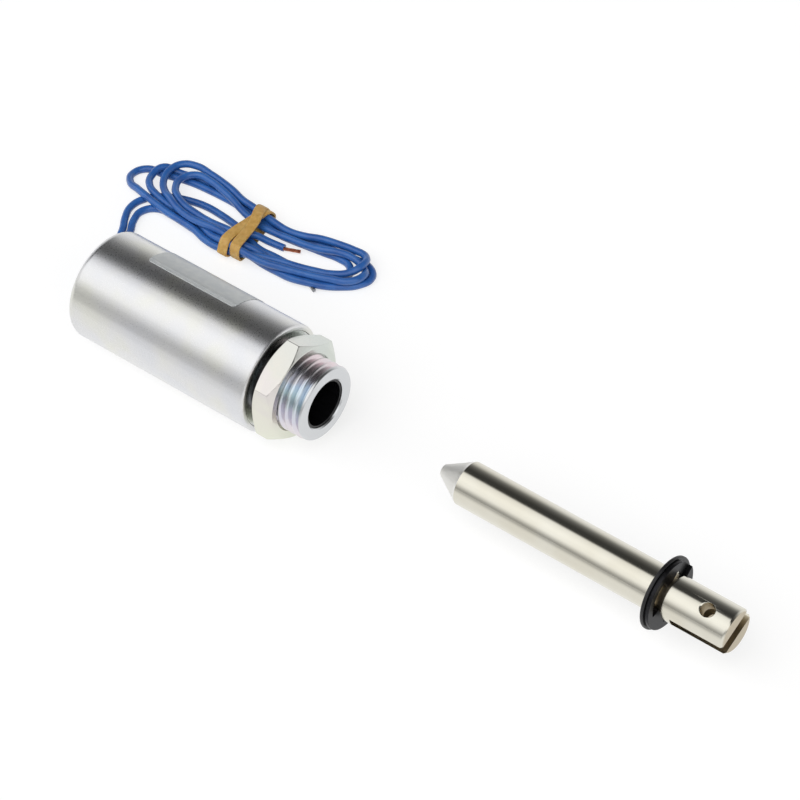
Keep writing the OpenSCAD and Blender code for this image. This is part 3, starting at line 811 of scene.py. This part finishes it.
def half_hard_brass():
    # Rolled brass shim: yellow and bright, with fine rolling lines.
    material, tree, shader, place = new_material("half_hard_brass_shim", metallic=1.0, roughness=0.28)
    stretched = add(tree, "VectorMath", {"operation": "MULTIPLY"}, i0=place, i1=(1, 0.08, 1))
    lines = add(tree, "TexNoise", Vector=stretched.outputs[0], Scale=per_mm(0.2), Detail=2.0)
    tone = add(tree, "ValToRGB", {"stops": [(0.35, "#BE9A48"), (0.65, "#D2B266")]}, Fac=lines.outputs[0])
    link(tree, tone.outputs[0], shader.inputs["Base Color"])
    bump = add(tree, "Bump", Height=lines.outputs[0], Distance=0.003 * MM)
    link(tree, bump.outputs[0], shader.inputs["Normal"])
    return material


def natural_nylon():
    # Injection moulded natural nylon: cream, waxy, a little see-through.
    material, tree, shader, place = new_material("natural_nylon_moulding", "#E9E2D0", 0.0, 0.45)
    flow = add(tree, "TexNoise", Vector=place, Scale=per_mm(5), Detail=2.0, Distortion=0.5)
    tone = add(tree, "ValToRGB", {"stops": [(0.35, "#E3DBC7"), (0.65, "#EDE7D7")]}, Fac=flow.outputs[0])
    link(tree, tone.outputs[0], shader.inputs["Base Color"])
    shader.inputs["Subsurface Weight"].default_value = 0.15
    shader.inputs["Subsurface Scale"].default_value = 0.8 * MM
    bump = add(tree, "Bump", Height=flow.outputs[0], Distance=0.02 * MM)
    link(tree, bump.outputs[0], shader.inputs["Normal"])
    return material


def enamelled_magnet_wire():
    # Close layers of enamelled copper wire, 0.3 mm over the enamel, seen as one turn beside the next.
    material, tree, shader, place = new_material("enamelled_magnet_wire", metallic=1.0, roughness=0.3)
    parts = add(tree, "SeparateXYZ", Vector=place)
    phase = add(tree, "Math", {"operation": "MULTIPLY"}, i0=parts.outputs["X"], i1=math.pi * per_mm(0.3))
    turn = add(tree, "Math", {"operation": "SINE"}, i0=phase.outputs[0])
    turns = add(tree, "Math", {"operation": "ABSOLUTE"}, i0=turn.outputs[0])
    # The colour is darkest where one turn meets the next and lightest on each turn's crown: painted shade and
    # painted light across each round wire.
    tone = add(tree, "ValToRGB", {"stops": [(0.1, "#5E2A17"), (0.6, "#B05E34")]}, Fac=turns.outputs[0])
    link(tree, tone.outputs[0], shader.inputs["Base Color"])
    bump = add(tree, "Bump", Height=turns.outputs[0], Distance=0.12 * MM)
    link(tree, bump.outputs[0], shader.inputs["Normal"])
    shader.inputs["Coat Weight"].default_value = 0.6
    shader.inputs["Coat Roughness"].default_value = 0.15
    return material


def polyester_coil_tape():
    # Yellow polyester film tape, one turn with an overlap: glossy, with the lap showing as a darker strip.
    material, tree, shader, place = new_material("polyester_coil_tape", "#D7AE3A", 0.0, 0.28)
    lap = add(tree, "ValToRGB", {"stops": [
        (0.28, "#DDB644"), (0.285, "#C3952B"), (0.36, "#C3952B"), (0.365, "#DDB644")]},
        Fac=angle_round_axis(tree, place))
    link(tree, lap.outputs[0], shader.inputs["Base Color"])
    wrinkles = add(tree, "TexNoise", Vector=place, Scale=per_mm(3), Detail=2.0)
    bump = add(tree, "Bump", Height=wrinkles.outputs[0], Distance=0.05 * MM)
    link(tree, bump.outputs[0], shader.inputs["Normal"])
    return material


def electrical_pressboard():
    # Calendered cellulose board: tan, matt, with short fibres in every direction.
    material, tree, shader, place = new_material("electrical_pressboard", "#BD9E6C", 0.0, 0.85)
    fibres = add(tree, "TexNoise", Vector=place, Scale=per_mm(0.5), Detail=4.0, Roughness=0.7, Distortion=2.0)
    tone = add(tree, "ValToRGB", {"stops": [(0.3, "#AE8D5B"), (0.7, "#CBB080")]}, Fac=fibres.outputs[0])
    link(tree, tone.outputs[0], shader.inputs["Base Color"])
    bump = add(tree, "Bump", Height=fibres.outputs[0], Distance=0.03 * MM)
    link(tree, bump.outputs[0], shader.inputs["Normal"])
    return material


def shrunk_polyolefin():
    # Heat shrunk polyolefin: black, half glossy, slightly lumpy where it has pulled down.
    material, tree, shader, place = new_material("shrunk_polyolefin", "#18191B", 0.0, 0.38)
    lumps = add(tree, "TexNoise", Vector=place, Scale=per_mm(1.5), Detail=2.0)
    tone = add(tree, "ValToRGB", {"stops": [(0.35, "#151618"), (0.65, "#212326")]}, Fac=lumps.outputs[0])
    link(tree, tone.outputs[0], shader.inputs["Base Color"])
    bump = add(tree, "Bump", Height=lumps.outputs[0], Distance=0.06 * MM)
    link(tree, bump.outputs[0], shader.inputs["Normal"])
    return material


# The film's colours round the axis, placed as angle_round_axis counts, the ends alike.
NOSE_FILM = [
    (0.0, "#D4D3DE"), (0.06, "#DFD9DE"), (0.16, "#DFDCDA"), (0.3, "#DADDD5"), (0.5, "#D6D8DA"),
    (0.66, "#E0D1D5"), (0.74, "#D2CDD0"), (0.81, "#C8CAD3"), (0.86, "#C6D2DE"), (0.93, "#CCDADE"),
    (1.0, "#D4D3DE")]
NUT_FILM = [
    (0.0, "#E0DED3"), (0.08, "#E1E2D4"), (0.25, "#DCDFCF"), (0.5, "#D3D8D0"), (0.66, "#CFD4CF"),
    (0.75, "#D4D5D0"), (0.82, "#D9D7CF"), (0.9, "#DBD6D3"), (1.0, "#E0DED3")]

zinc_can = zinc_plated_drawn_steel()
# The end collar and the flange keep a plated silver; the relief zone in #4C4C4E is painted shade for the gap
# under the nut.
nose_film = iridescent_zinc(
    "blue_passivated_nose", NOSE_FILM, 0.24, 0.006 * MM, turned_lines=0.25,
    plate_and_shade_zones=[(12.1, 12.5, "#D2D4D6"), (1.5, 1.1, "#4C4C4E"), (-0.02, -0.12, "#D2D4D2")])
nut_film = iridescent_zinc("clear_passivated_nut", NUT_FILM, 0.22, 0.004 * MM)
blue_pvc = blue_pvc_insulation()
washer_nitrile = black_rubber("moulded_nitrile_washer", "#0C0C0D", "#161617", 0.4, 0.35)
gland_neoprene = black_rubber("moulded_neoprene_gland", "#19191A", "#29292A", 0.55, 0.3)
tinned_strands = drawn_strand("tinned_copper_strands", "#8F9093", "#C2C3C5", 0.3)
copper_strands = drawn_strand("bare_copper_strands", "#8A4B37", "#C98262", 0.3)
# Each piece with its finish, its slot and the body that it moves with.
FINISHES = [
    (can, zinc_can, "zinc_case", "housing"),
    (nose, nose_film, "nose_plate", "housing"),
    (nut, nut_film, "nut_plate", "nut"),
    (sleeve, black_drawn_nylon(), "black_sleeve", "housing"),
    (rod, nickel_plated_turned_steel(), "plunger_nickel", "plunger"),
    (ring, black_oxide_spring_steel(), "spring_steel", "stop_rings"),
    (washer, washer_nitrile, "washer_rubber", "stop_rings"),
    (tag, silver_polyester_film(), "label_film", "housing"),
    (grommet, gland_neoprene, "grommet_rubber", "housing"),
    (lead_a, blue_pvc, "blue_pvc", "housing"),
    (lead_b, blue_pvc, "blue_pvc", "housing"),
    (lead_a_inside, blue_pvc, "blue_pvc", "housing"),
    (lead_b_inside, blue_pvc, "blue_pvc", "housing"),
    (tip_a, tinned_strands, "tinned_copper", "housing"),
    (tip_b, copper_strands, "bare_copper", "housing"),
    (band, natural_rubber_band(), "band_rubber", "housing"),
]
for piece, finish, slot_name, body in FINISHES:
    piece.data.materials.clear()
    piece.data.materials.append(finish)
    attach(piece, body)
# Pieces inside the case, or hardly seen, stay as the CAD has them and take a finish only.
board = electrical_pressboard()
for node_name, finish in [
    ("pole_stop", turned_soft_iron()),
    ("residual_shim", half_hard_brass()),
    ("bobbin", natural_nylon()),
    ("winding", enamelled_magnet_wire()),
    ("winding_tape", polyester_coil_tape()),
    ("front_insulator", board),
    ("rear_insulator", board),
    ("splice_sleeves", shrunk_polyolefin()),
]:
    cad_node(node_name).material_slots[0].material = finish

# ---------------------------------------------------------------- floor, world and light


def studio_floor():
    """A wide white floor. Seen directly or in a reflection it is near white and keeps a soft shadow."""
    clear_selection()
    bpy.ops.mesh.primitive_plane_add(size=6, location=(0, 0, FLOOR_Z))
    floor = bpy.context.object
    floor.name = "studio_floor"
    material = bpy.data.materials.new("white_floor")
    material.use_nodes = True
    tree = material.node_tree
    tree.nodes.clear()
    path = add(tree, "LightPath")
    seen = add(tree, "Math", {"operation": "MAXIMUM"},
               i0=path.outputs["Is Camera Ray"], i1=path.outputs["Is Glossy Ray"])
    seen = add(tree, "Math", {"operation": "MAXIMUM"},
               i0=seen.outputs[0], i1=path.outputs["Is Transmission Ray"])
    paper = add(tree, "BsdfDiffuse", Color=hex_colour("#EDEDED"))
    veil = add(tree, "BsdfDiffuse", Color=(0.34, 0.34, 0.34, 1))
    # Toward the front edge, past the soft box, the floor is dimmer in what the metal mirrors.
    toward_front = add(tree, "SeparateXYZ", Vector=add(tree, "TexCoord").outputs["Object"]).outputs["Y"]
    dim = add(tree, "MapRange", Value=toward_front, From_Min=-0.035, From_Max=-0.11,
              To_Min=0.0, To_Max=0.42)
    dim = add(tree, "Math", {"operation": "MULTIPLY"}, i0=dim.outputs[0], i1=path.outputs["Is Glossy Ray"])
    strength = add(tree, "Math", {"operation": "SUBTRACT"}, i0=0.72, i1=dim.outputs[0])
    glow = add(tree, "Emission", Color=(1, 1, 1, 1), Strength=strength.outputs[0])
    shown = add(tree, "AddShader", i0=veil.outputs[0], i1=glow.outputs[0])
    mix = add(tree, "MixShader", i0=seen.outputs[0], i1=paper.outputs[0], i2=shown.outputs[0])
    add(tree, "OutputMaterial", Surface=mix.outputs[0])
    floor.data.materials.append(material)
    return floor


# The studio round the solenoid, as brightness against the angle up from the horizon behind it:
# a pale horizon, a dark wall high up, a long soft box overhead and in front, and a dim gap below it.
STUDIO = [  # degrees and level
    (0, 0.95), (8, 0.90), (20, 0.62), (32, 0.28), (44, 0.14), (56, 0.08), (66, 0.05), (84, 0.05),
    (88, 0.25), (93, 0.95), (98, 1.12), (112, 1.25), (125, 1.32), (148, 1.22), (156, 1.00),
    (163, 0.75), (170, 0.52), (176, 0.42), (180, 0.40)]
STUDIO_PEAK = 1.4


def studio_world():
    """The studio as everything but the camera sees it; behind the floor the camera sees white."""
    world = bpy.data.worlds.new("studio")
    bpy.context.scene.world = world
    world.use_nodes = True
    tree = world.node_tree
    tree.nodes.clear()
    parts = add(tree, "SeparateXYZ", Vector=add(tree, "TexCoord").outputs["Generated"])
    turn = add(tree, "Math", {"operation": "ARCTAN2"}, i0=parts.outputs["Z"], i1=parts.outputs["Y"])
    place = add(tree, "Math", {"operation": "DIVIDE"}, i0=turn.outputs[0], i1=math.pi)
    ramp = add(tree, "ValToRGB", {"stops": [(angle / 180, level / STUDIO_PEAK) for angle, level in STUDIO]},
               Fac=place.outputs[0])
    path = add(tree, "LightPath")
    room = add(tree, "Background", Color=ramp.outputs[0], Strength=STUDIO_PEAK)
    white = add(tree, "Background", Color=(1, 1, 1, 1), Strength=1.0)
    mix = add(tree, "MixShader", i0=path.outputs["Is Camera Ray"], i1=room.outputs[0], i2=white.outputs[0])
    add(tree, "OutputWorld", Surface=mix.outputs[0])


def soft_fill():
    """A broad lamp from above and in front that lifts matt surfaces and isn't mirrored."""
    lamp = bpy.data.lights.new("soft_fill", "AREA")
    lamp.shape = "SQUARE"
    lamp.size = 1.2
    lamp.energy = 7
    holder = bpy.data.objects.new("soft_fill", lamp)
    holder.location = (0.1, -0.9, 1.2)
    holder.rotation_euler = holder.location.to_track_quat("Z", "Y").to_euler()
    holder.visible_glossy = False
    bpy.context.scene.collection.objects.link(holder)


studio_floor()
studio_world()
soft_fill()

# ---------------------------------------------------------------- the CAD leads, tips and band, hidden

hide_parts("lead_a", "lead_hank")
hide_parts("lead_b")
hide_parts("lead_tip_a")
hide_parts("lead_tip_b")
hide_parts("rubber_band")
